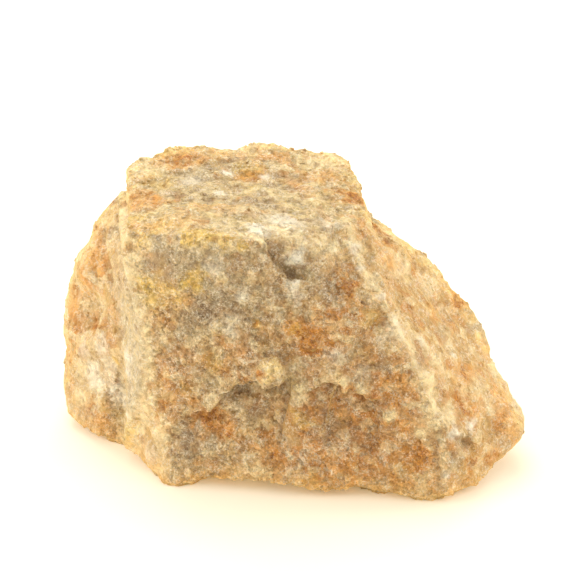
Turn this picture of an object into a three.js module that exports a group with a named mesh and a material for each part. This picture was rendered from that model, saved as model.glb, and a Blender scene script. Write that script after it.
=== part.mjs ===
// Rough akermanite: one broken lump of sugary, iron-stained stone.
// Millimetres, +Z up, X to the viewer's right, the broken front face towards -Y.
// The origin is the middle of the bounding box, on the surface that the stone rests on.
import * as THREE from "three";
import { ConvexHull } from "three/addons/math/ConvexHull.js";
import { ImprovedNoise } from "three/addons/math/ImprovedNoise.js";
import { mergeVertices } from "three/addons/utils/BufferGeometryUtils.js";

// Driving dimensions
const meshDetail = 18; // each icosahedron face becomes (meshDetail + 1) squared triangles
const heart = new THREE.Vector3(-1.5, -0.5, 10); // a point inside, which sees the whole surface
const farthestReach = 26; // longer than any line from the heart to the surface
const marchStep = 0.4;
const marchMargin = 1.6; // how far outside its last place a point looks for the surface again
const halvings = 11;
const relaxRounds = 30;
const relaxHold = 0.3; // share of its own place that a point keeps in each round
const sharpenRounds = 2;
const sharpenHold = 0.5; // how firmly a point stays put while its edges are sharpened
const sharpenLimit = 0.25;
const slopeStep = 0.02; // step for the slope of the surface
const mergeDistance = 1e-5;
const restDepth = 0.5; // how far the sole's corners lie below the cut that makes the flat spot

// The stone is the sum of three convex fracture blocks, each given by its corners.
const mainBlock = {
  topFrontLeft: [-14.2, -3.2, 21.8],
  topFrontMiddle: [-9.2, -5.0, 22.2],
  topFrontNotch: [-2.6, -5.4, 22.0],
  topFrontRight: [4.3, -1.5, 21.2],
  topRight: [6.0, 1.6, 20.8],
  topBackRight: [4.4, 10.2, 21.2],
  topBackMiddle: [-4.0, 10.4, 22.7],
  topBackLeft: [-8.4, 9.8, 22.9],
  topBackCorner: [-11.8, 8.7, 22.7],
  topLeftBack: [-14.1, 7.3, 22.2],
  topLeft: [-14.7, 4.0, 21.9],
  frontRidgeHigh: [6.5, -6.1, 16.3],
  frontRidgeMiddle: [8.7, -8.5, 11.8],
  frontRidgeLow: [11.0, -9.8, 8.6],
  leftFrontFoot: [-14.8, -5.4, 0.8],
  frontLeftFoot: [-11.0, -9.4, 0.3],
  frontMiddleFoot: [2.8, -11.7, 0.2],
  frontRightFoot: [12.3, -12.1, 0.3],
  backLeftBulge: [-11.0, 11.4, 13.0],
  backRightBulge: [2.0, 11.8, 11.0],
  backLeftFoot: [-13.0, 9.8, 1.3],
  backRightFoot: [5.0, 9.8, 1.1],
  soleLeft: [-9.5, 1.0, -restDepth],
  soleFrontLeft: [-7.0, -6.0, -restDepth],
  soleFrontRight: [8.5, -9.2, -restDepth],
  soleRight: [8.0, 0, -restDepth],
  soleBack: [-5.0, 5.5, -restDepth],
};

const rightWedge = {
  crestTop: [7.2, 4.0, 18.5],
  crestHigh: [9.8, 3.6, 16.1],
  crestMiddle: [12.7, 3.0, 13.6],
  crestLow: [15.2, 1.5, 10.4],
  crestBulge: [17.1, 0.2, 7.8],
  crestLower: [18.7, -1.6, 4.9],
  tipTop: [19.7, -4.0, 3.3],
  tipUnder: [19.2, -4.9, 2.6],
  ridgeTop: [5.8, -1.3, 20.4],
  ridgeHigh: [7.1, -6.2, 16.8],
  ridgeMiddle: [9.3, -8.5, 12.2],
  ridgeLow: [12.5, -10.6, 6.4],
  ridgeInner: [10.0, -10.1, 6.0],
  ridgeFoot: [12.8, -11.9, 1.2],
  frontFoot: [12.8, -12.0, 0.3],
  frontInnerFoot: [9.5, -11.3, 0.3],
  rightFoot: [15.9, -10.2, 0.5],
  backFoot: [15.0, 1.2, 1.3],
  backInnerFoot: [4.0, 9.4, 1.2],
  backInnerTop: [2.0, 10.6, 16.0],
  soleFront: [11.0, -9.2, -restDepth],
  soleRight: [11.0, -3.0, -restDepth],
  soleInner: [2.0, 4.0, -restDepth],
};

const leftFlank = {
  shoulderTop: [-15.8, 7.6, 18.8],
  shoulderHigh: [-17.7, 7.0, 16.3],
  shoulderMiddle: [-19.5, 6.5, 13.5],
  shoulderLow: [-20.4, 5.6, 10.8],
  endMiddle: [-20.3, 4.2, 6.4],
  endLow: [-20.5, 2.0, 2.4],
  endFoot: [-20.2, -0.2, 0.7],
  frontFoot: [-17.9, -3.3, 0.4],
  innerFoot: [-12.0, -4.0, 0],
  innerFrontTop: [-13.4, -1.4, 19.4],
  innerBackTop: [-12.0, 9.0, 19.6],
  backHigh: [-16.0, 10.2, 11.0],
  backFoot: [-16.2, 9.0, 1.8],
  backInner: [-11.5, 10.4, 10.0],
  backInnerFoot: [-11.0, 9.2, 1.4],
  sole: [-12.5, 2.5, -restDepth],
};

const blocks = [mainBlock, rightWedge, leftFlank];
const blockBlend = 0.5; // rounds the valley where two blocks meet

// Directions from the outside into each broken face
const intoFront = [0.1, 0.97, -0.2];
const intoTip = [-0.6, 0.77, -0.2];
const intoLeft = [0.9, 0.4, -0.1];
const intoBack = [0, -1, 0];
const intoBackRight = [-0.75, -0.62, -0.2];
const intoTop = [0, 0, -1];

// A scar is where a flake broke off: a ledge along its lip, running out to nothing at its toe.
const scars = {
  topEdgeNotch: {
    lip: [[-2.5, -5.2, 22.4], [-0.5, -6.5, 18.9]],
    toe: [[2.4, -3.4, 21.6], [1.6, -6.2, 18.4]],
    into: intoFront,
    depth: 0.7,
  },
  underKnob: {
    lip: [[-5.6, -8.0, 9.2], [-0.5, -8.5, 9.9]],
    toe: [[-5.8, -9.0, 4.4], [-0.3, -9.7, 4.2]],
    into: intoFront,
    depth: 0.5,
  },
  underLedge: {
    lip: [[3.4, -8.9, 10.2], [7.5, -9.6, 8.3]],
    toe: [[2.2, -10.0, 4.6], [7.6, -10.4, 4.4]],
    into: intoFront,
    depth: 0.7,
  },
  underSmallKnob: {
    lip: [[-8.0, -8.1, 7.1], [-5.9, -8.2, 7.2]],
    toe: [[-7.8, -8.9, 4.4], [-6.0, -9.0, 4.4]],
    into: intoFront,
    depth: 0.3,
  },
  besideFoot: {
    lip: [[13.6, -10.2, 6.0], [16.8, -8.2, 5.2]],
    toe: [[14.2, -11.2, 1.8], [17.0, -9.3, 1.6]],
    into: intoTip,
    depth: 0.4,
  },
  flankPlank: {
    lip: [[-17.0, 1.2, 16.6], [-16.6, 0.4, 8.0]],
    toe: [[-19.2, 4.6, 15.0], [-18.6, 2.2, 8.0]],
    into: intoLeft,
    depth: 0.6,
  },
  backPlate: {
    lip: [[-10.0, 11.6, 16.5], [0.5, 12.2, 15.0]],
    toe: [[-8.0, 11.6, 6.0], [3.0, 11.6, 4.0]],
    into: intoBack,
    depth: 1.2,
  },
  backRightPlate: {
    lip: [[8.5, 7.0, 12.5], [14.5, 2.6, 9.5]],
    toe: [[9.0, 7.4, 4.0], [16.0, 0.8, 2.5]],
    into: intoBackRight,
    depth: 1.1,
  },
  topPlate: {
    lip: [[-13.0, 5.6, 22.6], [2.0, 6.4, 22.1]],
    toe: [[-13.0, -1.0, 22.1], [3.0, 1.0, 21.7]],
    into: intoTop,
    depth: 0.45,
  },
};
const scarOpening = 4; // how far a scar's cutter reaches outside the surface

// Lumps stand out of the surface, and hollows are scooped into it. Each is an ellipsoid.
const lumps = {
  knob: { at: [-1.8, -7.2, 10.9], radii: [1.7, 1.6, 1.5] },
  smallKnob: { at: [-7.0, -7.4, 7.9], radii: [1.2, 1.1, 1.0] },
  ledgeKnob: { at: [8.4, -9.0, 6.7], radii: [1.0, 1.2, 1.4] },
  slopeKnob: { at: [11.2, -7.2, 9.0], radii: [1.5, 1.3, 1.2] },
  shoulderKnob: { at: [-16.6, 4.0, 13.6], radii: [2.2, 2.2, 2.6] },
  flankKnob: { at: [-16.8, 1.8, 6.6], radii: [2.2, 2.2, 2.8] },
  backKnob: { at: [-4.0, 10.0, 17.5], radii: [3.2, 1.9, 2.4] },
  tipKnob: { at: [18.0, -5.2, 3.4], radii: [1.4, 1.3, 1.1] },
};
const hollows = {
  leftOfRidge: { at: [-17.0, -6.3, 11.5], radii: [3.4, 3.1, 6.5] },
  underFront: { at: [-3, -10.8, -0.3], radii: [6.6, 2.4, 1.3] },
  slopeGroove: { at: [9.4, -3.6, 18.2], radii: [1.2, 4.2, 1.6] },
  backHollow: { at: [-9.0, 13.4, 6.0], radii: [5, 2.6, 4.5] },
};
const lumpBlend = 0.9;
const hollowBlend = 0.5;

// Uneven fracture surface, from broad waves to crumbs
const roughness = [
  { wavelength: 9, height: 0.5 },
  { wavelength: 4.2, height: 0.34 },
  { wavelength: 2.1, height: 0.2 },
];
const noiseShift = 17.3; // keeps the sizes of roughness apart

const noise = new ImprovedNoise();
const vector = (coordinates) => new THREE.Vector3(...coordinates);

// A convex hull as a function that is negative inside and grows by a millimetre per millimetre
function hullField(points) {
  const faces = new ConvexHull().setFromPoints(points).faces;
  return (p) => {
    let farthest = -Infinity;
    for (const face of faces) farthest = Math.max(farthest, face.distanceToPoint(p));
    return farthest;
  };
}

function scarField({ lip, toe, into, depth }) {
  const inward = vector(into).normalize();
  const surface = [...lip, ...toe].map(vector);
  const outside = surface.map((p) => p.clone().addScaledVector(inward, -scarOpening));
  const floor = lip.map((p) => vector(p).addScaledVector(inward, depth));
  return hullField([...surface, ...outside, ...floor]);
}

function ellipsoidField({ at, radii }) {
  const [x, y, z] = at;
  const [a, b, c] = radii;
  const least = Math.min(a, b, c);
  return (p) => (Math.hypot((p.x - x) / a, (p.y - y) / b, (p.z - z) / c) - 1) * least;
}

// The lesser of two distances, rounded where they are alike
function join(a, b, blend) {
  const share = Math.max(blend - Math.abs(a - b), 0) / blend;
  return Math.min(a, b) - (share * share * blend) / 4;
}

function surfaceNoise(p) {
  let sum = 0;
  roughness.forEach(({ wavelength, height }, i) => {
    const shift = noiseShift * (i + 1);
    sum += height * noise.noise(p.x / wavelength + shift, p.y / wavelength, p.z / wavelength - shift);
  });
  return sum;
}

const blockFields = blocks.map((corners) => hullField(Object.values(corners).map(vector)));
const scarFields = Object.values(scars).map(scarField);
const lumpFields = Object.values(lumps).map(ellipsoidField);
const hollowFields = Object.values(hollows).map(ellipsoidField);

function stoneField(p) {
  let d = blockFields.reduce((least, field) => join(least, field(p), blockBlend), farthestReach);
  for (const field of hollowFields) d = -join(-d, field(p), hollowBlend);
  for (const field of scarFields) d = Math.max(d, -field(p));
  for (const field of lumpFields) d = join(d, field(p), lumpBlend);
  d += surfaceNoise(p);
  return Math.max(d, -p.z); // the flat spot
}

// Moves a point, given from the heart, along its own line to where that line leaves the stone.
function place(p, farthest = farthestReach) {
  const direction = p.clone().normalize();
  const inside = (t) => stoneField(p.copy(heart).addScaledVector(direction, t)) < 0;
  let outer = farthest;
  while (!inside(outer - marchStep)) outer -= marchStep;
  let inner = outer - marchStep;
  for (let i = 0; i < halvings; i++) {
    const middle = (inner + outer) / 2;
    if (inside(middle)) inner = middle;
    else outer = middle;
  }
  return p.copy(direction).multiplyScalar((inner + outer) / 2);
}

// The direction straight out of the surface at a point given from the heart
function outward(p) {
  const at = (x, y, z) => stoneField(new THREE.Vector3(x, y, z).add(p).add(heart));
  return new THREE.Vector3(
    at(slopeStep, 0, 0) - at(-slopeStep, 0, 0),
    at(0, slopeStep, 0) - at(0, -slopeStep, 0),
    at(0, 0, slopeStep) - at(0, 0, -slopeStep),
  ).normalize();
}

function neighboursOf(triangles, count) {
  const sets = Array.from({ length: count }, () => new Set());
  for (const [a, b, c] of triangles) {
    sets[a].add(b).add(c);
    sets[b].add(a).add(c);
    sets[c].add(a).add(b);
  }
  return sets.map((s) => [...s]);
}

// Evens out the points along the surface.
function relax(points, neighbours) {
  const moved = neighbours.map((around, i) => {
    const middle = new THREE.Vector3();
    around.forEach((j) => middle.add(points[j]));
    return middle.divideScalar(around.length).lerp(points[i], relaxHold);
  });
  moved.forEach((p, i) => points[i].copy(place(p, p.length() + marchMargin)));
}

// Pulls each point to where the planes of the surface around it meet, so that edges stay crisp.
function sharpen(points, triangles) {
  const sums = points.map((p) => ({
    matrix: [sharpenHold, 0, 0, sharpenHold, 0, sharpenHold],
    side: p.clone().multiplyScalar(sharpenHold),
  }));
  for (const corners of triangles) {
    const middle = new THREE.Vector3();
    corners.forEach((i) => middle.add(points[i]));
    middle.divideScalar(3);
    place(middle, middle.length() + marchMargin);
    const n = outward(middle);
    const offset = n.dot(middle);
    corners.forEach((i) => {
      const { matrix, side } = sums[i];
      [n.x * n.x, n.x * n.y, n.x * n.z, n.y * n.y, n.y * n.z, n.z * n.z].forEach((v, k) => {
        matrix[k] += v;
      });
      side.addScaledVector(n, offset);
    });
  }
  sums.forEach(({ matrix: [xx, xy, xz, yy, yz, zz], side }, i) => {
    const target = side.applyMatrix3(new THREE.Matrix3(xx, xy, xz, xy, yy, yz, xz, yz, zz).invert());
    const step = target.sub(points[i]);
    step.clampLength(0, sharpenLimit);
    points[i].add(step);
  });
}

// A sphere's triangles are laid on the stone, evened out along its surface, then sharpened.
function stoneGeometry() {
  const sphere = new THREE.IcosahedronGeometry(1, meshDetail);
  sphere.deleteAttribute("normal");
  sphere.deleteAttribute("uv");
  const geometry = mergeVertices(sphere, mergeDistance);
  const position = geometry.getAttribute("position");
  const points = Array.from({ length: position.count }, (_, i) =>
    place(new THREE.Vector3().fromBufferAttribute(position, i)),
  );
  const order = [...geometry.index.array];
  const triangles = Array.from({ length: order.length / 3 }, (_, i) => order.slice(3 * i, 3 * i + 3));
  const neighbours = neighboursOf(triangles, points.length);
  for (let round = 0; round < relaxRounds; round++) relax(points, neighbours);
  for (let round = 0; round < sharpenRounds; round++) sharpen(points, triangles);
  points.forEach((p, i) => {
    p.add(heart);
    position.setXYZ(i, p.x, p.y, Math.max(p.z, 0));
  });
  geometry.computeBoundingBox();
  const middle = geometry.boundingBox.getCenter(new THREE.Vector3());
  geometry.translate(-middle.x, -middle.y, 0);
  geometry.computeVertexNormals();
  return geometry;
}

const stone = new THREE.Mesh(
  stoneGeometry(),
  new THREE.MeshStandardMaterial({ color: "#c9a878", roughness: 0.75, metalness: 0 }),
);
stone.name = "stone";

const part = new THREE.Group();
part.add(stone);

export default part;
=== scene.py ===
import math

import bmesh
import bpy
import numpy as np
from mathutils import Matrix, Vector, noise
from mathutils.bvhtree import BVHTree


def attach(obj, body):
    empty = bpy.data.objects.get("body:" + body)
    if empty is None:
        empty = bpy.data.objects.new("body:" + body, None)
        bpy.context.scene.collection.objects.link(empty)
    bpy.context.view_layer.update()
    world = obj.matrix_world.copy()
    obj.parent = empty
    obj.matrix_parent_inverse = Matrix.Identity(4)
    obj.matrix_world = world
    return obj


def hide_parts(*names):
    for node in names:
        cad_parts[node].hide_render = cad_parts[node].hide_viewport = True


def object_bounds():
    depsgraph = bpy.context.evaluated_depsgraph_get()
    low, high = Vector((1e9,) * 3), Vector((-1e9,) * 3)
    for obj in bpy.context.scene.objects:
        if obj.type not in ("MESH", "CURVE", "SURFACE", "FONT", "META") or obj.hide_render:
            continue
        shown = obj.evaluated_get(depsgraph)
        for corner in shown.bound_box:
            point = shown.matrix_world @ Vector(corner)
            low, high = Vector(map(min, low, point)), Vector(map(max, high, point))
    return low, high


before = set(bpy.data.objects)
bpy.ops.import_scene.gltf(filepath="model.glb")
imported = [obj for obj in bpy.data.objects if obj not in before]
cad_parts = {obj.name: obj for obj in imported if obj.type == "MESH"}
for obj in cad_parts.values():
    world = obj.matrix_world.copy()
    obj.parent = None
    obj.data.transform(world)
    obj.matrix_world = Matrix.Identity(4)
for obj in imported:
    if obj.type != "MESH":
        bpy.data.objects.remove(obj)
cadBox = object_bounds()
mm = 0.001
print("frame loaded")


# The picture. Places on the stone are given as the camera sees them: millimetres across and up
# from the middle of the picture, on the plane through the point that it looks at.
picture = {
    "target": (-0.417, 2.439, 12.6),  # mm
    "elevation": 32,
    "distance": 260,
    "lens": 187.2,
    "sensor": 36,
}
tilt = math.radians(picture["elevation"])
target = np.array(picture["target"])
towards = np.array([0, -math.cos(tilt), math.sin(tilt)])  # from the stone to the camera
right = np.array([1.0, 0, 0])
upward = np.array([0, math.sin(tilt), math.cos(tilt)])
eye = target + towards * picture["distance"]


def asSeen(points):  # millimetres across and up, for points in millimetres
    out = points - eye
    stretch = picture["distance"] / -(out @ towards)
    return (out @ right) * stretch, (out @ upward) * stretch


def addCamera():
    data = bpy.data.cameras.new("camera")
    data.lens, data.sensor_width = picture["lens"], picture["sensor"]
    data.clip_start = 0.01
    camera = bpy.data.objects.new("camera", data)
    bpy.context.scene.collection.objects.link(camera)
    camera.location = Vector(eye) * mm
    camera.rotation_euler = Vector(-towards).to_track_quat("-Z", "Y").to_euler()
    bpy.context.scene.camera = camera


# The stone's mesh, in millimetres
stone = {
    "levels": 2,  # how often each edge is halved
    "smoothRounds": 5,
    "smoothShare": 0.6,
    "lumps": [(3.4, 0.18), (1.7, 0.17), (0.9, 0.1)],  # size and height
    "crumbs": [(1.6, 0.26), (0.85, 0.2), (0.5, 0.09)],
    "crumbWarpSize": 1.3,
    "crumbWarp": 0.3,
    "topStreaks": (0.65, 0.32),  # sizes, the coarse one first
    "slopeStreaks": (0.6, 0.33),
    "finerStreaks": 0.6,  # how strong the second size is
    "streakHeight": 0.11,
    "slopeStreakHeight": 0.7,  # of streakHeight
    "streakDraw": 0.82,  # how far the slope's streaks are drawn out
    "soleHeight": 0.3,
    "boxMargin": 0.02,
    "seed": 4,
}

# A ledge stands out on the left of its line as the line runs, or on the right if its height is below 0,
# and drops away as much on the other side. With lift 0 only the left side moves.
ledges = {
    "knobFoot": {"line": [(-4.9, -8.8), (-4.1, -8.3), (-2.7, -8.1), (-2.2, -8.6), (-0.7, -8.7),
                          (0.0, -8.0)], "height": 0.6},
    "smallKnobFoot": {"line": [(-7.8, -10.8), (-6.9, -10.8), (-6.0, -10.0), (-4.9, -8.8)],
                      "height": 0.4},
    "recessWall": {"line": [(-0.4, -12.2), (-0.1, -10.8), (0.2, -9.8), (0.1, -8.2)], "height": -0.35},
    "mainLedge": {"line": [(2.3, -8.8), (3.3, -8.2), (4.5, -8.4), (5.8, -8.8), (6.7, -9.5), (8.2, -10.5)],
                  "height": 0.75},
    "ledgeWall": {"line": [(7.9, -13.7), (8.0, -12.4), (8.2, -10.5)], "height": -0.4},
    "notchWall": {"line": [(-1.95, 4.2), (-1.6, 3.0), (-1.15, 1.9), (-0.5, 1.2), (0.5, 0.9)],
                  "height": -0.85, "softness": 0.35, "lift": 0},
    "footRidge": {"line": [(13.3, -17.3), (13.4, -15.9), (13.3, -14.1), (13.3, -12.9)], "height": -0.35},
    "footRecess": {"line": [(13.6, -12.4), (14.8, -12.9), (15.9, -13.3)], "height": 0.3},
}
ledgeReach = 1.6  # how far from its line a ledge fades out
ledgeSoftness, ledgeLift = 0.13, 0.5
ledgeShade = (0.15, 0.7)  # painted shade: full up to the first distance under a ledge, gone at the second

# Round knobs (height above 0) and pits, with their radius
knobs = {
    "knob": {"at": (-1.4, -7.2), "radius": 1.2, "height": 0.95},
    "smallKnob": {"at": (-6.6, -9.8), "radius": 0.8, "height": 0.5},
    "ledgeKnob": {"at": (8.7, -11.2), "radius": 0.7, "height": 0.55},
    "slopeLump": {"at": (12.2, -8.0), "radius": 0.9, "height": 0.5},
    "lipLeft": {"at": (5.0, -8.0), "radius": 0.55, "height": 0.3},
    "lipRight": {"at": (6.3, -8.6), "radius": 0.55, "height": 0.3},
    "footPit": {"at": (15.7, -13.3), "radius": 0.45, "height": -0.5},
    "recessPit": {"at": (-2.0, -12.4), "radius": 0.5, "height": -0.25},
    "topPit": {"at": (-10.7, 9.0), "radius": 0.4, "height": -0.3},
}

# The raised rim at the left, and the thin creases on the flank beside it
rim = {
    "line": [(-14.4, 9.1), (-14.3, 4.6), (-13.9, 1.3), (-13.3, -1.3), (-12.6, -5.4), (-12.8, -8.4),
             (-13.5, -11.2), (-14.2, -13.3), (-14.2, -14.8)],
    "width": 0.4, "height": 0.3,
}
creases = {
    "besideRim": [(-14.7, 7.5), (-14.6, 5.0), (-14.5, 3.4), (-14.3, 1.9), (-13.95, 0.4), (-13.7, -0.6),
                  (-13.4, -2.6)],
    "flank": [(-16.0, 5.0), (-15.9, 2.8), (-15.5, 1.5), (-15.4, 0.2)],
    "aboveFlank": [(-16.4, 3.6), (-16.9, 1.6), (-16.6, 0.4)],
}
# creaseShade: how dark the painted shade along a crease is
creaseWidth, creaseDepth, creaseShade = 0.17, 0.28, 0.45
downSlope = (0.62, -0.25, -0.74)  # the way that the streaks on the right-hand slope run


def waves(points, size, shift=0.0):  # smooth noise from -1 to 1
    return np.array([noise.noise(p) for p in (points / size + shift).tolist()])


def warps(points, size, shifts):  # such noise in three directions
    return np.stack([waves(points, size, shift) for shift in shifts], 1)


def crumble(points, size, shift=0.0):  # rounded grains, 1 in the middle and 0 in the cracks
    near = [noise.voronoi(p)[0][:2] for p in (points / size + shift).tolist()]
    first, second = np.array(near).T
    return np.clip((second - first) * 1.6, 0, 1)


def smoothStep(x, low, high):
    t = np.clip((x - low) / (high - low), 0, 1)
    return t * t * (3 - 2 * t)


def fromLine(across, up, line):  # signed distance, above 0 on the left of the way it runs
    best = np.full(len(across), 1e9)
    signed = best.copy()
    for (x0, y0), (x1, y1) in zip(line, line[1:]):
        dx, dy = x1 - x0, y1 - y0
        t = np.clip(((across - x0) * dx + (up - y0) * dy) / (dx * dx + dy * dy), 0, 1)
        ox, oy = across - (x0 + t * dx), up - (y0 + t * dy)
        away = np.hypot(ox, oy)
        side = np.sign(dx * oy - dy * ox)
        closer = away < best
        best = np.where(closer, away, best)
        signed = np.where(closer, away * side, signed)
    return signed


def finerCopy(source, levels, rounds):  # the same form with small faces, its creases eased
    bm = bmesh.new()
    bm.from_mesh(source.data)
    bmesh.ops.remove_doubles(bm, verts=bm.verts, dist=1e-7)
    mesh = bpy.data.meshes.new("stoneSurface")
    bm.to_mesh(mesh)
    bm.free()
    piece = bpy.data.objects.new("stoneSurface", mesh)
    bpy.context.scene.collection.objects.link(piece)
    finer = piece.modifiers.new("finer", "SUBSURF")
    finer.subdivision_type = "SIMPLE"
    finer.levels = finer.render_levels = levels
    bakedDown(piece)
    edges = np.array([tuple(e.vertices) for e in piece.data.edges])
    points = readVectors(piece.data, "co")
    ends, others = np.concatenate([edges, edges[:, ::-1]]).T
    count = np.bincount(ends, minlength=len(points))[:, None]
    for _ in range(rounds):
        total = np.stack([np.bincount(ends, points[others, i], len(points)) for i in range(3)], 1)
        points += stone["smoothShare"] * (total / count - points)
    piece.data.vertices.foreach_set("co", points.astype(np.float32).ravel())
    piece.data.update()
    return piece


def bakedDown(piece):  # the modifiers' result as a plain mesh, and the modifiers gone
    bpy.context.view_layer.update()
    depsgraph = bpy.context.evaluated_depsgraph_get()
    mesh = bpy.data.meshes.new_from_object(piece.evaluated_get(depsgraph))
    piece.modifiers.clear()
    piece.data = mesh


def readVectors(mesh, what):
    values = np.empty(len(mesh.vertices) * 3, np.float32)
    mesh.vertices.foreach_get(what, values)
    return values.reshape(-1, 3).astype(float)


def handPlaced(across, up, seen):  # how far out each point moves, and how much painted shade it gets under ledges and in creases
    out, shadeAndSpeck = np.zeros(len(across)), np.zeros(len(across))
    for ledge in ledges.values():
        signed = fromLine(across, up, ledge["line"])
        fade = 1 - smoothStep(np.abs(signed), 0.2, ledgeReach)
        soft = ledge.get("softness", ledgeSoftness)
        lift = ledge.get("lift", ledgeLift)
        out += ledge["height"] * (smoothStep(signed, -soft, soft) - lift) * fade
        below = signed if ledge["height"] < 0 else -signed
        # painted shade just under each ledge's step
        shadeAndSpeck = np.maximum(shadeAndSpeck, smoothStep(below, -soft, soft) * (1 - smoothStep(below, *ledgeShade)))
    for knob in knobs.values():
        away = np.hypot(across - knob["at"][0], up - knob["at"][1]) / knob["radius"]
        out += knob["height"] * np.sqrt(np.clip(1 - away**2, 0, 1))
    signed = fromLine(across, up, rim["line"])
    out += rim["height"] * np.exp(-((signed / rim["width"]) ** 2))
    for line in creases.values():
        near = np.exp(-((fromLine(across, up, line) / creaseWidth) ** 2))
        out -= creaseDepth * near
        # painted shade along each crease
        shadeAndSpeck = np.maximum(shadeAndSpeck, creaseShade * near)
    return out * seen, shadeAndSpeck * seen


def roughened(mesh):  # moves the points, and returns masks for the finish
    points = readVectors(mesh, "co") / mm
    normals = readVectors(mesh, "normal")
    across, up = asSeen(points)
    seen = smoothStep(normals @ towards, 0.0, 0.25)
    top = smoothStep(normals[:, 2], 0.75, 0.95)
    slope = smoothStep(normals[:, 0], 0.3, 0.6) * (1 - top)
    flank = smoothStep(-normals[:, 0], 0.3, 0.6) * (1 - top)
    sides = np.maximum(slope, flank) * smoothStep(normals @ towards, -0.3, 0.1)
    smooth = 0.6 * np.maximum(0.6 * top, sides)
    out = np.zeros(len(points))
    for i, (size, height) in enumerate(stone["lumps"]):
        out += height * waves(points, size, stone["seed"] + 3.7 * i)
    warp = stone["crumbWarp"] * warps(points, stone["crumbWarpSize"], (11, 23, 37))
    grains = np.zeros(len(points))
    for i, (size, height) in enumerate(stone["crumbs"]):
        grains += height * (crumble(points + warp, size, 5.1 * (i + 1)) - 0.5)
    out += grains * (1 - smooth)
    # streaks: along X on the top, and down to the right on the slope
    wide, fine = stone["topStreaks"]
    layered = waves(points * [0.35, 1, 1], wide, 3)
    layered += stone["finerStreaks"] * waves(points * [0.3, 1, 1], fine, 8)
    along = points @ np.array(downSlope)
    lie = points - stone["streakDraw"] * along[:, None] * np.array(downSlope)
    wide, fine = stone["slopeStreaks"]
    ribbed = waves(lie, wide, 13) + stone["finerStreaks"] * waves(lie, fine, 19)
    out += stone["streakHeight"] * (layered * top + stone["slopeStreakHeight"] * ribbed * slope)
    placed, shadeAndSpeck = handPlaced(across, up, seen)
    out += placed
    sole = smoothStep(-normals[:, 2], 0.8, 0.97) * (points[:, 2] < stone["soleHeight"])
    moved = points + normals * (out * (1 - sole))[:, None]
    low, high = np.array(cadBox[0]) / mm, np.array(cadBox[1]) / mm
    moved = np.clip(moved, low + stone["boxMargin"], high - stone["boxMargin"])
    moved[:, 2] = np.where(sole > 0.5, 0.0, np.maximum(moved[:, 2], 0.0))
    mesh.vertices.foreach_set("co", (moved * mm).astype(np.float32).ravel())
    mesh.update()
    beside = fromLine(across, up, rim["line"])
    strip = smoothStep(-beside, -0.6, 0.2) * (1 - smoothStep(-beside, 1.0, 2.2))
    strip *= seen * smoothStep(5 - up, 0, 8)
    # footGlow: the low parts that face down or out, painted amber as if lit from the floor
    footGlow = smoothStep(3.4 - points[:, 2], 0, 3.4) * smoothStep(-normals[:, 2], -0.75, 0.1)
    # crackShade: the low cracks between the crumbs, where painted shade goes
    return {"crackShade": np.clip(0.5 - grains / 0.4, 0, 1), "shadeAndSpeck": shadeAndSpeck, "top": top, "slope": slope,
            "flank": flank, "strip": strip, "smooth": smooth, "footGlow": footGlow}


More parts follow.
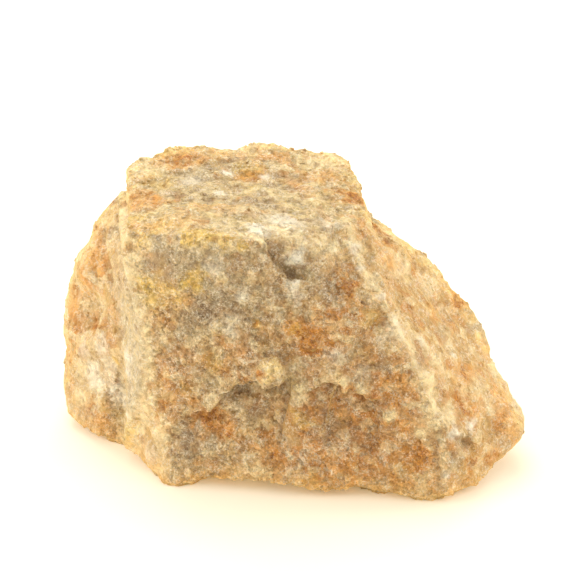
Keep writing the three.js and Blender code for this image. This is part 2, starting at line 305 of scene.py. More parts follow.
# Stains, each (across, up, radius, strength) where the camera sees it
stains = {
    "warm": [
        (5.4, -12.4, 5.5, 0.9), (2.0, -4.6, 2.3, 0.9), (4.5, -2.6, 2.0, 0.8), (9.0, -9.3, 2.0, 0.7),
        (-6.7, -11.5, 2.0, 0.8), (11.5, -15.2, 2.0, 0.9), (2.4, -16.3, 2.4, 0.8),
        (-1.1, -14.6, 1.8, 0.7), (17.2, -14.8, 1.6, 0.8), (15.0, -9.8, 1.6, 0.7), (7.6, 4.8, 1.0, 0.8),
        (14.6, -1.5, 1.2, 0.6), (-17.0, 1.5, 1.6, 0.7), (-16.6, 5.6, 1.4, 0.6), (-18.4, -4.0, 1.2, 0.7),
        (-15.9, -12.4, 1.5, 0.5), (-11.7, -1.5, 1.8, 0.4), (19.0, -11.5, 1.8, 0.7),
        (-9.0, 11.2, 1.4, 0.6), (5.4, 7.6, 1.2, 0.6), (0.5, 9.2, 1.0, 0.5), (-13.0, 7.4, 1.4, 0.6),
        (-9.5, -7.8, 2.0, 0.4), (-4.0, -6.0, 2.2, 0.4), (16.0, -5.5, 2.2, 0.5), (11.5, 1.0, 2.0, 0.4),
    ],
    "cool": [
        (-5.4, 1.5, 3.6, 0.9), (-10.0, 2.6, 1.8, 0.8), (-6.7, -2.6, 2.0, 0.9), (-0.5, 2.0, 2.4, 0.9),
        (2.5, 2.6, 2.2, 0.8), (-2.0, -2.0, 2.4, 0.6), (-6.0, 8.5, 3.0, 0.8), (0.5, 6.0, 2.8, 0.7),
        (-2.5, 8.0, 2.4, 0.6), (-8.0, -13.6, 2.0, 0.8), (-13.6, -14.6, 2.6, 0.9),
        (-4.0, -10.4, 1.6, 0.7), (-14.2, -9.0, 1.6, 0.9), (-16.4, -8.0, 1.8, 0.7),
        (-17.0, -6.4, 1.4, 0.5), (15.6, -12.8, 1.4, 0.8), (14.2, -15.4, 1.0, 0.6), (8.0, 1.5, 1.6, 0.5),
        (-14.0, 1.0, 1.0, 0.7), (-13.4, -4.0, 1.2, 0.7), (-8.6, -4.6, 2.2, 0.6), (-4.4, -3.0, 1.8, 0.6),
        (-6.2, -8.4, 1.4, 0.5), (0.2, -1.4, 1.6, 0.5), (-16.2, -5.4, 1.6, 0.6),
        (-10.5, -15.6, 2.0, 0.7), (-15.2, 5.0, 0.9, 0.6), (3.6, -9.6, 1.4, 0.3), (6.3, -7.0, 1.4, 0.4),
    ],
    "rust": [
        (-9.3, 11.1, 0.9, 0.8), (-3.1, 9.6, 0.7, 0.7), (5.0, 8.3, 0.8, 0.9), (5.9, 7.6, 0.7, 1.2),
        (0.7, 8.9, 0.3, 0.8), (3.4, 9.6, 0.7, 0.45), (-13.3, 7.9, 1.0, 0.65), (-11.3, 7.4, 0.8, 0.5),
        (7.5, 5.5, 0.8, 1.6), (8.1, 4.5, 0.7, 1.6), (8.5, 3.9, 0.4, 1.4), (5.2, 0.2, 0.9, 1.5),
        (4.7, 1.5, 0.9, 0.5), (3.0, -2.6, 0.8, 0.7), (2.0, -4.6, 1.1, 1.5), (0.7, -3.9, 0.5, 0.7),
        (-2.7, -3.3, 0.4, 0.6), (-6.9, -11.1, 1.0, 1.4), (-5.5, -12.4, 0.8, 0.9),
        (-10.8, -10.2, 0.5, 0.9), (-5.4, -7.3, 0.5, 0.7), (-2.7, -7.7, 0.6, 1.0),
        (-3.4, -8.0, 0.5, 0.7), (-1.1, -14.7, 0.7, 0.9), (-5.7, -16.3, 0.5, 0.6),
        (2.1, -17.2, 0.8, 0.5), (9.3, -16.7, 0.8, 0.9), (15.0, -9.8, 0.8, 1.0), (15.4, -10.8, 0.5, 0.9),
        (15.2, -7.3, 0.8, 0.7), (12.9, -2.0, 0.6, 0.4), (7.3, -9.8, 0.9, 0.8), (17.6, -14.7, 0.7, 1.5),
        (15.9, -15.2, 0.7, 0.9), (11.7, -14.6, 0.9, 1.1), (14.8, -1.4, 0.7, 0.9),
        (10.7, -1.5, 0.7, 0.45), (9.3, 2.2, 0.7, 0.4), (-17.9, 3.5, 0.9, 0.8), (-16.7, 5.2, 0.6, 0.8),
        (-15.9, 1.8, 0.5, 0.8), (-17.3, 2.4, 0.7, 0.4), (-16.7, -3.4, 0.5, 1.0),
        (-18.4, -0.4, 0.8, 0.7), (-19.0, -6.3, 0.6, 0.9), (-18.1, -5.5, 0.5, 0.9),
        (-17.2, -10.8, 0.8, 0.7), (-15.4, -13.0, 0.7, 0.6), (5.0, -15.9, 0.9, 0.45),
        (18.9, -11.1, 0.8, 0.5), (16.7, -7.2, 0.9, 0.45), (-14.7, -1.1, 0.4, 0.4),
    ],
    "orange": [
        (-16.6, 2.6, 1.3, 0.8), (-17.6, 0.2, 1.0, 0.6), (-18.6, -1.5, 0.8, 0.7),
        (-19.0, -5.5, 0.7, 0.9), (-18.9, -8.5, 0.7, 0.6), (-16.9, 5.0, 0.9, 0.5),
        (-16.2, -11.8, 1.0, 0.5), (-9.3, 11.2, 1.1, 0.5), (-12.9, 7.3, 1.2, 0.5),
        (-12.6, 5.2, 0.9, 0.4), (-3.3, 9.7, 0.6, 0.7), (0.6, 9.0, 0.4, 0.7), (3.5, 9.4, 0.9, 0.4),
        (5.4, 8.0, 1.0, 0.8), (-6.0, 11.6, 0.8, 0.4), (-1.0, 11.2, 0.8, 0.3), (8.6, 2.6, 1.0, 0.7),
        (10.5, 3.0, 0.9, 0.5), (14.8, -1.2, 1.1, 0.9), (13.6, 0.6, 1.0, 0.6), (16.8, -5.0, 0.9, 0.7),
        (18.4, -9.5, 1.1, 0.8), (19.2, -12.0, 1.2, 0.8), (15.0, -7.5, 1.2, 0.6), (12.6, -2.4, 1.0, 0.4),
        (16.2, -10.4, 1.0, 0.6), (9.6, -8.8, 1.3, 0.7), (10.2, -12.0, 1.0, 0.5), (0.3, -3.4, 0.6, 0.6),
        (2.6, -4.2, 1.3, 0.5), (4.6, -10.2, 1.0, 0.5), (12.0, -15.0, 1.4, 0.6), (4.6, -15.6, 1.4, 0.5),
        (-1.6, -14.4, 1.0, 0.5), (-6.2, -11.6, 1.5, 0.5), (-9.6, 5.8, 1.2, 0.4),
    ],
    "ochre": [
        (-8.6, 4.4, 0.8, 1.1), (-7.2, 4.5, 0.8, 0.9), (-5.4, 4.2, 0.7, 0.9), (-3.8, 3.6, 0.5, 1.6),
        (-12.4, 4.4, 0.8, 0.6), (-13.5, 5.9, 0.8, 0.7), (-12.3, 0.3, 0.7, 1.2), (-8.3, 0.5, 0.8, 1.1),
        (-11.3, -0.2, 1.7, 0.6), (-7.6, 1.2, 0.6, 0.6), (0.7, -3.7, 0.5, 0.9), (-2.6, -3.3, 0.4, 0.8),
        (-9.8, -0.7, 0.8, 0.5), (-11.5, -1.3, 0.7, 0.5), (-15.0, -6.5, 0.5, 1.0),
        (-8.9, -8.9, 0.7, 0.4), (-6.3, -6.5, 0.8, 0.5), (7.2, -2.8, 0.8, 0.4), (1.1, -11.5, 0.8, 0.6),
        (2.0, -16.9, 0.8, 0.5), (-1.4, -7.3, 1.1, 0.45), (-9.3, 12.0, 1.0, 0.5), (-10.7, 5.4, 0.9, 0.5),
        (5.4, 9.3, 0.9, 0.4), (-11.1, 9.3, 1.0, 0.35), (9.8, -15.9, 0.9, 0.3), (-3.3, 10.2, 0.8, 0.6),
    ],
    "grey": [
        (-10.5, 2.8, 1.7, 0.8), (-7.6, 2.2, 1.4, 0.6), (-7.2, -2.0, 1.3, 1.0), (-5.4, -0.7, 1.0, 0.6),
        (-9.3, -3.0, 1.0, 0.5), (3.3, 0.5, 1.6, 0.6), (3.0, -1.2, 0.8, 0.4), (-7.6, 9.3, 1.7, 0.5),
        (-1.1, 9.2, 1.4, 0.5), (-2.2, 7.4, 1.2, 0.6), (-5.4, 7.4, 1.0, 0.5), (2.1, 5.7, 1.0, 0.5),
        (-4.1, -9.1, 0.9, 0.75), (-2.7, -10.7, 1.0, 0.7), (-8.5, -12.8, 1.1, 0.8),
        (-6.7, -13.3, 0.9, 0.6), (3.9, -11.5, 1.7, 0.55), (15.0, -13.4, 0.9, 0.8),
        (-0.5, -13.3, 0.9, 0.5), (8.2, -6.9, 0.8, 0.6), (-3.3, -5.0, 1.0, 0.4), (1.1, -1.1, 1.2, 0.35),
        (14.6, -15.0, 0.8, 0.6), (-15.4, 4.6, 0.4, 0.6), (-9.3, -6.3, 1.2, 0.3),
        (5.9, -13.3, 1.2, 0.45), (11.5, -5.4, 0.9, 0.3), (13.7, -3.7, 1.0, 0.3),
    ],
    "mauveAndShade": [
        # the first six spots lie on the notch's left wall and are painted shade; the others are the stone's
        # darker mauve patches
        (-1.5, 3.6, 0.6, 1.6), (-0.9, 3.3, 0.6, 1.4), (-1.1, 2.6, 0.5, 1.4), (-0.5, 2.3, 0.4, 0.8),
        (-0.5, 1.7, 0.4, 0.6), (0.3, 1.3, 0.3, 0.6), (-11.7, 1.5, 0.9, 0.6), (11.3, -6.3, 0.7, 0.5),
        (-15.2, 5.2, 0.5, 0.8), (-7.2, -2.2, 0.9, 1.0), (-7.9, -1.5, 0.5, 0.8), (-4.2, -9.2, 0.7, 0.6),
        (-8.6, -12.9, 0.8, 0.6), (-4.6, -1.9, 0.5, 0.6), (3.7, -0.3, 0.9, 0.6), (-10.2, 0.9, 0.7, 0.5),
        (-2.5, -10.9, 0.7, 0.5), (3.9, -12.0, 1.0, 0.5), (-9.0, -14.6, 0.9, 0.6),
        (8.3, -12.6, 0.5, 0.7), (-14.5, 2.9, 0.4, 0.6), (15.3, -13.6, 0.4, 0.5), (13.1, -4.1, 0.6, 0.4),
        (-6.3, 7.2, 0.7, 0.5), (-3.0, 6.2, 0.6, 0.4),
    ],
    "white": [
        (-16.1, -5.2, 1.0, 0.6), (-16.8, -7.6, 1.2, 0.7), (-17.8, -5.6, 0.7, 0.5),
        (-15.4, -7.0, 0.8, 0.5), (-14.9, -8.2, 0.8, 0.5), (-5.3, 10.0, 0.3, 1.2), (-2.0, 9.6, 0.3, 0.7),
        (-5.8, 8.2, 0.3, 1.2), (-8.5, 9.2, 0.6, 0.6), (-2.4, 5.1, 0.7, 1.1), (-0.7, 5.8, 0.9, 0.7),
        (0.5, 2.3, 0.7, 1.2), (0.4, 0.3, 0.6, 0.9), (1.2, 3.2, 0.5, 0.6), (0.9, -0.8, 0.6, 0.5),
        (-4.1, -0.9, 0.7, 0.7), (-5.0, -3.9, 0.6, 0.6), (-6.5, 1.9, 0.7, 0.5), (14.6, -12.6, 0.7, 0.9),
        (15.9, -11.9, 0.6, 1.0), (14.5, -5.9, 0.28, 1.2), (11.7, -4.6, 0.4, 0.6),
        (-13.9, -6.0, 0.6, 0.9), (-13.9, -7.3, 0.6, 0.8), (-14.6, -9.5, 0.8, 0.8),
        (-14.0, -11.0, 0.6, 0.7), (6.0, 3.4, 0.5, 0.7), (6.4, 1.6, 0.4, 0.7), (8.2, -0.8, 0.4, 0.6),
        (9.4, -2.9, 0.5, 0.5), (4.1, -6.0, 0.8, 0.5), (-2.8, -10.0, 0.3, 0.5), (6.3, -7.3, 0.7, 0.4),
        (0.2, 5.4, 0.8, 0.5), (3.7, 5.4, 0.8, 0.4), (9.3, -3.7, 0.8, 0.3), (13.7, -16.3, 0.5, 0.7),
        (-12.0, -14.6, 0.9, 0.5), (-5.0, -2.8, 0.7, 0.4),
    ],
    "creamAndHighlight": [
        (-14.2, 6.7, 0.6, 0.9), (-14.2, 4.1, 0.5, 0.9), (-13.8, 0.7, 0.5, 0.9), (-13.1, -2.8, 0.6, 0.9),
        (-12.6, -5.4, 0.6, 0.9), (-12.7, -8.5, 0.7, 0.9), (-13.3, -11.1, 0.8, 0.8),
        (-13.7, -13.7, 0.9, 0.7), (-11.1, -12.4, 1.0, 0.5), (9.5, 1.1, 0.8, 0.5), (8.0, -1.0, 0.6, 0.5),
        (9.3, -3.6, 0.7, 0.4), (10.0, 1.8, 1.3, 0.45), (10.2, -5.6, 0.7, 0.5), (11.0, -8.3, 0.8, 0.5),
        (12.4, -7.9, 0.8, 1.0), (12.4, -10.7, 0.8, 0.9), (13.3, -13.3, 0.5, 1.0),
        (13.3, -15.9, 0.5, 1.0), (11.7, -4.6, 0.6, 0.8), (14.0, -4.2, 1.0, 0.4), (13.2, -6.5, 1.0, 0.6),
        (16.9, -8.9, 1.2, 0.5), (17.7, -10.5, 0.9, 0.6), (-15.9, -1.6, 1.0, 0.6),
        (-16.7, -8.9, 0.9, 0.7), (-17.4, -1.6, 1.0, 0.5), (-17.6, -7.2, 1.3, 0.7),
        (-18.0, -9.6, 1.0, 0.7), (14.0, -11.2, 0.9, 0.7), (12.4, 0.2, 1.2, 0.5), (-1.5, -7.2, 1.0, 0.7),
        (5.0, -8.3, 0.7, 1.0), (6.5, -8.9, 0.7, 0.9), (8.7, -11.2, 0.6, 1.0), (1.1, -9.3, 1.0, 0.6),
        (-5.0, 12.8, 1.4, 0.5), (3.7, 11.1, 1.7, 0.5), (-12.0, 10.2, 1.0, 0.6), (-3.3, -15.9, 1.7, 0.4),
        (-10.2, -15.9, 1.2, 0.4), (12.0, -12.4, 1.2, 0.4), (3.7, -7.2, 1.2, 0.5),
        (19.3, -12.4, 0.9, 0.5), (0.7, -16.7, 1.2, 0.4), (-6.6, -10.0, 0.8, 0.6),
    ],
}
# Paler bands along edges and ridges, partly the stone's own paler edges and partly painted highlight: the
# line, and how wide
paleEdgesAndHighlights = {
    "rim": (rim["line"], 0.38),
    "besideRim": ([(-13.6, 4.4), (-13.2, 1.0), (-12.5, -1.6), (-12.0, -5.4), (-12.1, -8.4), (-12.6, -11.2),
                   (-13.2, -13.6)], 0.7),
    "rightRidge": ([(5.4, 5.0), (6.0, 2.4), (7.6, 0.2), (8.7, -1.7), (10.2, -4.8), (11.6, -7.2),
                    (12.6, -9.6), (13.4, -12.9), (13.3, -17.0)], 0.45),
    "topFront": ([(-14.2, 4.4), (-9.5, 3.6), (-6.3, 3.8), (-3.5, 4.1), (-2.2, 4.3)], 0.75),
    "notchRight": ([(-1.0, 5.2), (2.0, 4.0), (4.5, 3.4), (6.0, 3.2)], 0.9),
}
# Thin edges painted with a pale yellow glow, as if light shone through them
paintedGlowLines = {
    "back": ([(-14.3, 7.6), (-13.9, 10.0), (-11.9, 11.6), (-8.9, 12.3), (-5.0, 12.5), (-1.5, 12.4),
              (1.1, 12.0), (5.0, 11.4), (5.7, 9.8), (6.2, 8.0), (7.0, 6.2)], 0.7),
    "crest": ([(7.0, 6.2), (9.8, 4.1), (13.2, 1.3), (15.8, -2.4), (17.6, -5.8), (19.3, -9.2),
               (20.4, -11.9)], 0.5),
    "left": ([(-15.2, 7.4), (-16.8, 5.3), (-17.6, 3.2), (-18.8, 1.7), (-19.3, -1.0), (-19.4, -5.4),
              (-19.3, -10.6)], 0.5),
}
# How many more there are on the far sides
unseenStains = {"warm": 14, "cool": 12, "rust": 26, "orange": 24, "ochre": 16, "grey": 34, "mauveAndShade": 14,
                "white": 26, "creamAndHighlight": 44}
staining = {
    "warp": 0.75,  # how far noise pushes the edge of a stain, in radii
    "warpSize": 0.9,
    "finerWarpSize": 0.35,
    "full": 0.45,  # full strength up to here and gone at the next, in radii
    "gone": 1.5,
    "longer": 0.45,  # how much longer along X on level ground
    "wideKinds": ("warm", "cool"),
    "wideRadius": (1.5, 4.5),  # on the far sides
    "radius": (0.6, 1.8),
    "strength": (0.4, 1.0),
    "whiteStrength": 0.5,
}


def stainMasks(mesh):  # each kind of stain from 0 to 1 at every point
    points = readVectors(mesh, "co") / mm
    normals = readVectors(mesh, "normal")
    faces = [tuple(p.vertices) for p in mesh.polygons]
    tree = BVHTree.FromPolygons(points.tolist(), faces)
    warp = warps(points, staining["warpSize"], (51, 63, 77))
    warp += 0.5 * warps(points, staining["finerWarpSize"], (5, 15, 25))
    rng = np.random.default_rng(stone["seed"])
    unseen = np.flatnonzero((normals @ towards < 0.05) & (points[:, 2] > 0.5))
    flat = smoothStep(normals[:, 2], 0.7, 0.9)
    masks = {}
    for name, spots in stains.items():
        placed = []
        for across, up, radius, strength in spots:
            aim = target + right * across + upward * up - eye
            hit = tree.ray_cast(Vector(eye), Vector(aim).normalized())[0]
            if hit is not None:
                placed.append((np.array(hit), radius, strength))
        for i in rng.choice(unseen, unseenStains[name], replace=False):
            radius = rng.uniform(*staining["wideRadius" if name in staining["wideKinds"] else "radius"])
            strength = rng.uniform(*staining["strength"])
            strength *= staining["whiteStrength"] if name == "white" else 1
            placed.append((points[i], radius, strength))
        clear = np.ones(len(points))
        for centre, radius, strength in placed:
            apart = points + staining["warp"] * radius * warp - centre
            apart[:, 0] *= 1 - staining["longer"] * flat
            away = np.linalg.norm(apart, axis=1) / radius
            fade = 1 - smoothStep(away, staining["full"], staining["gone"])
            clear *= 1 - np.clip(strength * fade, 0, 1)
        masks[name] = 1 - clear
    across, up = asSeen(points)
    seen = smoothStep(normals @ towards, -0.1, 0.15)
    broken = np.clip(0.6 + 1.3 * waves(points, 0.9, 31), 0.1, 1)  # the lines come and go
    # the pale edge bands, partly painted highlight, join the cream stains; the glow lines are painted glow
    for name, lines in (("creamAndHighlight", paleEdgesAndHighlights), ("glow", paintedGlowLines)):
        for line, width in lines.values():
            band = np.exp(-((fromLine(across, up, line) / width) ** 2)) * seen * broken
            masks[name] = np.maximum(masks.get(name, 0), band)
    return masks


def store(mesh, name, values):
    layer = mesh.attributes.new(name, "FLOAT", "POINT")
    layer.data.foreach_set("value", values.astype(np.float32))


def makeStone():
    piece = finerCopy(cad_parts["stone"], stone["levels"], stone["smoothRounds"])
    masks = roughened(piece.data)
    masks.update(stainMasks(piece.data))
    for name, values in masks.items():
        store(piece.data, name, values)
    piece.data.polygons.foreach_set("use_smooth", [True] * len(piece.data.polygons))
    return piece


# The finish
colours = {  # as seen on a screen, 0 to 255
    "beige": (212, 178, 122),
    "sand": (190, 150, 84),
    "cool": (184, 167, 132),
    "olive": (202, 180, 118),
    "warm": (199, 134, 63),
    # brownAndShade: the stone's brown, also used for the painted shade in the cracks between crumbs
    "brownAndShade": (154, 108, 60),
    "pale": (236, 214, 176),
    # creamAndHighlight: the stone's cream, also used for painted highlight along edges
    "creamAndHighlight": (250, 230, 180),
    # glow: the painted glow of thin edges
    "glow": (255, 226, 150),
    "grey": (156, 136, 108),
    # mauveAndShade: the stone's mauve, also used for painted shade on the notch's wall
    "mauveAndShade": (134, 110, 84),
    "white": (248, 242, 222),
    "ochre": (232, 194, 94),
    "orange": (246, 178, 88),
    "rust": (204, 138, 50),
    "deepRust": (150, 86, 28),
    # amberGlow: painted light on the low parts
    "amberGlow": (255, 204, 124),
    # dark brown for the painted shade under ledges and in creases, and for the stone's own small dark
    # specks
    "shadeAndSpeck": (104, 70, 38),
}
finish = {
    "clouds": {"broad": 3.0, "patchy": 1.1, "mottle": 0.6, "speck": 0.25, "curl": 0.42, "grit": 0.17,
               "warp": 0.8, "darkSpeck": 0.35},  # sizes, mm
    "streaks": {"slope": 0.5, "top": 0.8, "strip": 0.45},
    "cells": {"coarse": 0.7, "fine": 0.32, "gem": 0.95},
    "warp": 0.4,  # mm
    "streakDraw": 0.85,
    "bump": 0.8,
    "ior": 1.5,
    "scatter": {"sugaryStone": 0.2, "looseGrain": 0.12},  # subsurface weights
    "scatterRadius": (1.0, 0.72, 0.46),
    "scatterScale": 1.5,  # mm
    "sheen": 0.9,
    "sheenRoughness": 0.35,
    "sheenTint": (255, 224, 150),
}


def linear(rgb):  # the colour as a shader takes it
    shares = [c / 255 for c in rgb]
    return tuple(c / 12.92 if c <= 0.04045 else ((c + 0.055) / 1.055) ** 2.4 for c in shares) + (1.0,)


class Wire:  # a socket that adds Math nodes when it is used in an expression
    def __init__(self, tree, socket=None):
        self.tree, self.socket = tree, socket

    def add(self, kind, settings=None, inputs=None, output=0):
        made = self.tree.nodes.new(kind)
        for name, value in (settings or {}).items():
            setattr(made, name, value)
        for name, value in (inputs or {}).items():
            if isinstance(value, Wire):
                self.tree.links.new(value.socket, made.inputs[name])
            else:
                made.inputs[name].default_value = value
        return Wire(self.tree, made.outputs[output]) if made.outputs else made

    def out(self, name):  # another output of the same node
        return Wire(self.tree, self.socket.node.outputs[name])

    def math(self, operation, *values, clamp=False):
        settings = {"operation": operation, "use_clamp": clamp}
        return self.add("ShaderNodeMath", settings, dict(enumerate(values)))

    def __add__(self, other):
        return self.math("ADD", self, other)

    def __radd__(self, other):
        return self.math("ADD", other, self)

    def __sub__(self, other):
        return self.math("SUBTRACT", self, other)

    def __rsub__(self, other):
        return self.math("SUBTRACT", other, self)

    def __mul__(self, other):
        return self.math("MULTIPLY", self, other)

    def __rmul__(self, other):
        return self.math("MULTIPLY", other, self)

    def clamped(self):
        return self.math("ADD", self, 0.0, clamp=True)

    def between(self, low, high):  # 0 at low, 1 at high, smooth in between
        settings = {"interpolation_type": "SMOOTHSTEP"}
        return self.add("ShaderNodeMapRange", settings, {"Value": self, "From Min": low, "From Max": high})

    def ridge(self, middle, width):  # 1 in the middle, 0 at either side
        return (1 - self.math("ABSOLUTE", self - middle) * (1 / width)).clamped()

    def mix(self, factor, first, second):
        return self.add("ShaderNodeMix", {"data_type": "RGBA"}, {0: factor, 6: first, 7: second}, 2)


def stoneFinish(name):
    material = bpy.data.materials.new(name)
    material.use_nodes = True
    tree = material.node_tree
    tree.nodes.clear()
    wire = Wire(tree)
    clouds, streaks, cellSizes = finish["clouds"], finish["streaks"], finish["cells"]
    place = wire.add("ShaderNodeTexCoord").out("Object")
    place = wire.add("ShaderNodeVectorMath", {"operation": "SCALE"}, {0: place, "Scale": 1 / mm})

    def cloud(size, detail=3.0, at=None):
        return wire.add("ShaderNodeTexNoise", {}, {
            "Vector": at or place, "Scale": 1 / size, "Detail": detail, "Roughness": 0.6})

    def cells(size):
        return wire.add("ShaderNodeTexVoronoi", {}, {"Vector": warped, "Scale": 1 / size})

    def mask(layer):
        return wire.add("ShaderNodeAttribute", {"attribute_name": layer}).out("Fac")

    def vector(operation, first, second, output="Vector"):
        return wire.add("ShaderNodeVectorMath", {"operation": operation}, {0: first, 1: second}).out(output)

    def scaled(what, factor):
        return wire.add("ShaderNodeVectorMath", {"operation": "SCALE"}, {0: what, "Scale": factor})

    def split(pattern):  # the three numbers that each cell has
        return wire.add("ShaderNodeSeparateColor", {}, {0: pattern.out("Color")})

    warped = vector("ADD", place, scaled(cloud(clouds["warp"]).out("Color"), finish["warp"]))
    broad, patchy, mottle = cloud(clouds["broad"]), cloud(clouds["patchy"]), cloud(clouds["mottle"])
    speck, curl = cloud(clouds["speck"], 2.0), cloud(clouds["curl"], 2.0, warped)
    grit = cloud(clouds["grit"], 1.0)
    coarse, fine = cells(cellSizes["coarse"]), cells(cellSizes["fine"])
    gem, coarseTone, fineTone = split(cells(cellSizes["gem"])), split(coarse), split(fine)
    # stretched patterns: along X on the top, and down the slope on the right
    along = vector("DOT_PRODUCT", place, downSlope, "Value")
    lie = vector("SUBTRACT", place, scaled(downSlope, along * finish["streakDraw"]))
    slopeStreak = cloud(streaks["slope"], at=lie)
    topStreak = cloud(streaks["top"], at=vector("MULTIPLY", place, (0.5, 1, 1)))
    stripStreak = cloud(streaks["strip"], at=vector("MULTIPLY", place, (1, 1, 0.2)))

    # zones and stains, from the broad ones to the small ones, with painted highlight along edges, painted
    # shade on the notch's wall, and painted glow on thin edges and low parts
    tone = {key: linear(rgb) for key, rgb in colours.items()}
    base = wire.mix((mask("warm") * (0.6 + patchy)).clamped(), tone["beige"], tone["warm"])
    base = wire.mix((mask("cool") * (0.6 + patchy)).clamped() * 0.95, base, tone["cool"])
    base = wire.mix(broad.between(0.5, 0.68) * 0.5, base, tone["brownAndShade"])
    rough = 1 - mask("smooth") * 0.9
    base = wire.mix(patchy.between(0.48, 0.3) * (0.2 + mask("warm") * 0.35) * rough, base, tone["rust"])
    base = wire.mix(mottle.between(0.5, 0.34) * 0.45 * rough, base, tone["brownAndShade"])
    base = wire.mix(patchy.between(0.5, 0.66) * 0.65, base, tone["pale"])
    base = wire.mix(mask("slope") * 0.78 + mask("flank") * 0.6, base, tone["sand"])
    base = wire.mix(mask("slope") * slopeStreak.between(0.48, 0.66) * 0.4, base, tone["warm"])
    base = wire.mix(mask("slope") * slopeStreak.ridge(0.44, 0.04) * 0.35, base, tone["creamAndHighlight"])
    base = wire.mix(mask("top") * 0.6, base, tone["olive"])
    base = wire.mix(mask("top") * broad.between(0.42, 0.58) * 0.5, base, tone["grey"])
    base = wire.mix(mask("top") * topStreak.between(0.48, 0.6) * 0.5, base, tone["grey"])
    base = wire.mix(mask("top") * topStreak.ridge(0.46, 0.06) * 0.3, base, tone["creamAndHighlight"])
    # large crystals, each of one colour
    base = wire.mix(gem.out("Red").between(0.62, 0.68) * 0.42, base, tone["creamAndHighlight"])
    clean = 1 - mask("cool") * 0.8
    base = wire.mix(gem.out("Green").between(0.72, 0.78) * clean * 0.5, base, tone["warm"])
    iron = gem.out("Blue").between(0.86, 0.92) * clean * (0.25 + mask("warm") * 0.4)
    base = wire.mix(iron, base, tone["rust"])
    # cream stains, with the paler edge bands that are partly painted highlight
    base = wire.mix((mask("creamAndHighlight") * (0.55 + mottle)).clamped() * 0.9, base, tone["creamAndHighlight"])
    base = wire.mix((mask("grey") * (0.5 + patchy)).clamped() * 0.8, base, tone["grey"])
    base = wire.mix(mask("strip") * 0.92, base, tone["cool"])
    base = wire.mix(mask("strip") * stripStreak.between(0.54, 0.42) * 0.3, base, tone["creamAndHighlight"])
    base = wire.mix(mask("strip") * stripStreak.ridge(0.5, 0.04) * 0.4, base, tone["white"])
    base = wire.mix((mask("ochre") * (0.4 + mottle * 1.1)).clamped() * 0.85, base, tone["ochre"])
    base = wire.mix((mask("orange") * (0.35 + mottle * 1.1)).clamped() * 0.75, base, tone["orange"])
    rusty = (mask("rust") * (0.35 + mottle.between(0.36, 0.6) * 0.9)).clamped()
    base = wire.mix(rusty * 0.85, base, tone["rust"])
    base = wire.mix(rusty.between(0.45, 0.9) * speck.between(0.38, 0.58) * 0.8, base, tone["deepRust"])
    base = wire.mix((mask("white") * (0.45 + mottle)).clamped() * 0.95, base, tone["white"])
    # mauve patches, with painted shade on the notch's wall
    base = wire.mix((mask("mauveAndShade") * (0.6 + mottle * 0.8)).clamped() * 0.75, base, tone["mauveAndShade"])
    # painted glow along the thin edges
    base = wire.mix(mask("glow") * (1 - rusty) * (0.4 + mottle * 0.5), base, tone["glow"])
    # painted light: the low parts made brighter and amber, as if lit from the floor
    base = wire.mix(mask("footGlow") * (0.4 + mottle * 0.6), base, tone["amberGlow"])
    # clearer and milkier grains, with curly pale skins where they meet
    middle = 1 - coarse.out("Distance").between(0.25, 0.65)
    base = wire.mix(coarseTone.out("Green").between(0.3, 1.0) * middle * 0.5 * rough, base, tone["brownAndShade"])
    skin = curl.ridge(0.5, 0.045) * patchy.between(0.36, 0.58) * (1 - rusty * 0.6)
    base = wire.mix(skin * 0.6, base, tone["white"])
    light = 0.45 + (fineTone.out("Red") - 0.5) * 0.46 + fine.out("Distance") * 0.15
    light = light + (speck - 0.5) * 0.5 + grit * 0.98
    light = light + (1.0 - light) * mask("smooth") * 0.7
    base = scaled(base, light)
    # painted glints: white specks in place of facets that catch the light
    paintedGlint = (grit + speck * 0.5).between(0.86, 1.05) * rough * (1 - rusty * 0.7)
    base = wire.mix(paintedGlint * 0.55, base, tone["white"])
    # painted shade in the cracks between the crumbs
    base = wire.mix(mask("crackShade") * 0.15, base, tone["brownAndShade"])
    # painted shade under the ledges and in the creases
    base = wire.mix(mask("shadeAndSpeck") * (0.35 + mottle) * 0.42, base, tone["shadeAndSpeck"])
    base = wire.mix(cloud(clouds["darkSpeck"], 1.0).between(0.74, 0.79) * rough * 0.6, base, tone["shadeAndSpeck"])

    # every grain is tilted its own way, so that some catch the light
    def facets(pattern):
        lean = vector("SUBTRACT", pattern.out("Color"), (0.5, 0.5, 0.5))
        return vector("DOT_PRODUCT", lean, vector("SUBTRACT", warped, pattern.out("Position")), "Value")

    height = facets(coarse) * 0.6 + facets(fine) * 1.1 - fine.out("Distance") * 0.08
    height = (height + speck * 0.06 + grit * 0.02) * (1 - mask("smooth") * 0.8)
    bump = wire.add("ShaderNodeBump", {}, {"Strength": finish["bump"], "Distance": mm, "Height": height})
    roughness = 0.62 - fineTone.out("Blue").between(0.7, 1.0) * 0.36 + rusty * 0.15
    shader = wire.add("ShaderNodeBsdfPrincipled", {"subsurface_method": "RANDOM_WALK"}, {
        "Base Color": base, "Roughness": roughness, "Normal": bump, "IOR": finish["ior"],
        "Subsurface Weight": finish["scatter"][name], "Subsurface Radius": finish["scatterRadius"],
        "Subsurface Scale": finish["scatterScale"] * mm, "Sheen Weight": finish["sheen"],
        "Sheen Roughness": finish["sheenRoughness"], "Sheen Tint": linear(finish["sheenTint"]),
    })
    wire.add("ShaderNodeOutputMaterial", {}, {"Surface": shader})
    return material


# Loose sugary grains
sugar = {
    "perSquareMetre": 2.8e6,
    "fewerOnSmooth": 1.3,  # share that is gone where the surface is all smooth
    "radius": 0.24 * mm,
    "sink": 0.14 * mm,
    "footClear": 0.5 * mm,  # none below this height
    "turn": 6.28,  # radians: any way round
    "scale": (0.5, 1.5),  # of the radius, along each axis
    "seed": 11,
    "scaleSeed": 5,
}


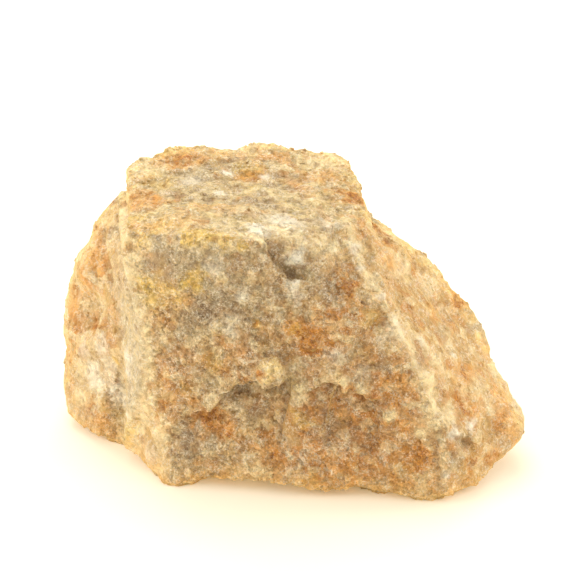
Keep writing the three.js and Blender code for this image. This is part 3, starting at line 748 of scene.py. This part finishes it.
def sugarTree():
    tree = bpy.data.node_groups.new("sugarGrains", "GeometryNodeTree")
    face = tree.interface
    face.new_socket("Geometry", in_out="INPUT", socket_type="NodeSocketGeometry")
    for name in ("Density", "Smooth Faces", "Radius", "Sink", "Foot Clear"):
        face.new_socket(name, in_out="INPUT", socket_type="NodeSocketFloat")
    face.new_socket("Seed", in_out="INPUT", socket_type="NodeSocketInt")
    face.new_socket("Material", in_out="INPUT", socket_type="NodeSocketMaterial")
    face.new_socket("Geometry", in_out="OUTPUT", socket_type="NodeSocketGeometry")
    wire = Wire(tree)
    given = wire.add("NodeGroupInput")
    height = wire.add("ShaderNodeSeparateXYZ", {}, {0: wire.add("GeometryNodeInputPosition")}).out("Z")
    above = wire.add("FunctionNodeCompare", {"data_type": "FLOAT", "operation": "GREATER_THAN"},
                     {0: height, 1: given.out("Foot Clear")})
    smooth = wire.add("GeometryNodeInputNamedAttribute", {"data_type": "FLOAT"}, {"Name": "smooth"})
    density = given.out("Density") * (1 - smooth * given.out("Smooth Faces"))
    points = wire.add("GeometryNodeDistributePointsOnFaces", {"distribute_method": "RANDOM"}, {
        "Mesh": given, "Selection": above, "Density": density, "Seed": given.out("Seed")})
    inward = wire.add("ShaderNodeVectorMath", {"operation": "SCALE"},
                      {0: points.out("Normal"), "Scale": 0 - given.out("Sink")})
    sunk = wire.add("GeometryNodeSetPosition", {}, {"Geometry": points, "Offset": inward})
    turn = wire.add("FunctionNodeRandomValue", {"data_type": "FLOAT_VECTOR"},
                    {"Min": (0, 0, 0), "Max": (sugar["turn"],) * 3, "Seed": given.out("Seed")})
    least, most = sugar["scale"]
    grow = wire.add("FunctionNodeRandomValue", {"data_type": "FLOAT_VECTOR"},
                    {"Min": (least,) * 3, "Max": (most,) * 3, "Seed": sugar["scaleSeed"]})
    crystal = wire.add("GeometryNodeMeshIcoSphere", {}, {"Radius": given.out("Radius"), "Subdivisions": 1})
    placed = wire.add("GeometryNodeInstanceOnPoints", {}, {
        "Points": sunk, "Instance": crystal, "Rotation": turn, "Scale": grow})
    whole = wire.add("GeometryNodeRealizeInstances", {}, {0: placed})
    painted = wire.add("GeometryNodeSetMaterial", {}, {
        "Geometry": whole, "Material": given.out("Material")})
    wire.add("NodeGroupOutput", {}, {0: painted})
    return tree


def makeGrains(base, material):
    piece = bpy.data.objects.new("sugarGrains", base.data.copy())
    bpy.context.scene.collection.objects.link(piece)
    grow = piece.modifiers.new("grains", "NODES")
    grow.node_group = sugarTree()
    values = {
        "Density": sugar["perSquareMetre"], "Smooth Faces": sugar["fewerOnSmooth"],
        "Radius": sugar["radius"], "Sink": sugar["sink"], "Foot Clear": sugar["footClear"],
        "Seed": sugar["seed"],
        "Material": material,
    }
    for item in grow.node_group.interface.items_tree:
        if item.in_out == "INPUT" and item.name in values:
            grow[item.identifier] = values[item.name]
    bakedDown(piece)
    corners = np.clip(readVectors(piece.data, "co"), *cadBox)
    piece.data.vertices.foreach_set("co", corners.astype(np.float32).ravel())
    return piece


# Floor and light
studio = {
    "floorSize": 1.6,  # metres
    "floorColour": (254, 250, 243),
    "floorGlowColour": (255, 234, 170),
    "floorGlow": 0.14,
    "floorRoughness": 0.9,
    "skyColour": (255, 245, 226),
    "skyStrength": 0.82,
    "lamps": {  # place in mm, size in mm, radiance
        "above": {"at": (-40, 200, 270), "size": 260, "glow": 2.9},
        "leftSide": {"at": (-260, 0, 120), "size": 200, "glow": 3.0},
        "rightSide": {"at": (260, 20, 120), "size": 200, "glow": 2.7},
    },
}


def addStudio():
    bm = bmesh.new()
    bmesh.ops.create_grid(bm, x_segments=1, y_segments=1, size=studio["floorSize"] / 2)
    mesh = bpy.data.meshes.new("floor")
    bm.to_mesh(mesh)
    bm.free()
    floor = bpy.data.objects.new("floor", mesh)
    bpy.context.scene.collection.objects.link(floor)
    paper = bpy.data.materials.new("whitePaper")
    paper.use_nodes = True
    shader = paper.node_tree.nodes["Principled BSDF"]
    shader.inputs["Base Color"].default_value = linear(studio["floorColour"])
    shader.inputs["Roughness"].default_value = studio["floorRoughness"]
    shader.inputs["Emission Color"].default_value = linear(studio["floorGlowColour"])
    shader.inputs["Emission Strength"].default_value = studio["floorGlow"]
    mesh.materials.append(paper)

    world = bpy.data.worlds.new("tent")
    world.use_nodes = True
    world.node_tree.nodes["Background"].inputs["Color"].default_value = linear(studio["skyColour"])
    world.node_tree.nodes["Background"].inputs["Strength"].default_value = studio["skyStrength"]
    bpy.context.scene.world = world

    for name, lamp in studio["lamps"].items():
        side = lamp["size"] * mm
        data = bpy.data.lights.new(name, "AREA")
        data.shape, data.size = "SQUARE", side
        data.energy = lamp["glow"] * math.pi * side * side
        light = bpy.data.objects.new(name, data)
        bpy.context.scene.collection.objects.link(light)
        light.location = Vector(lamp["at"]) * mm
        light.rotation_euler = (Vector(target) - Vector(lamp["at"])).to_track_quat("-Z", "Y").to_euler()
    bpy.context.scene.view_settings.view_transform = "Standard"


addCamera()
print("camera placed")
stonePiece = makeStone()
stonePiece.data.materials.clear()
stonePiece.data.materials.append(stoneFinish("sugaryStone"))
print("stone", len(stonePiece.data.polygons), "faces")
grainPiece = makeGrains(stonePiece, stoneFinish("looseGrain"))
print("grains", len(grainPiece.data.polygons), "faces")
for piece in (stonePiece, grainPiece):
    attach(piece, "root")
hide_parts("stone")
addStudio()
print("studio lit")
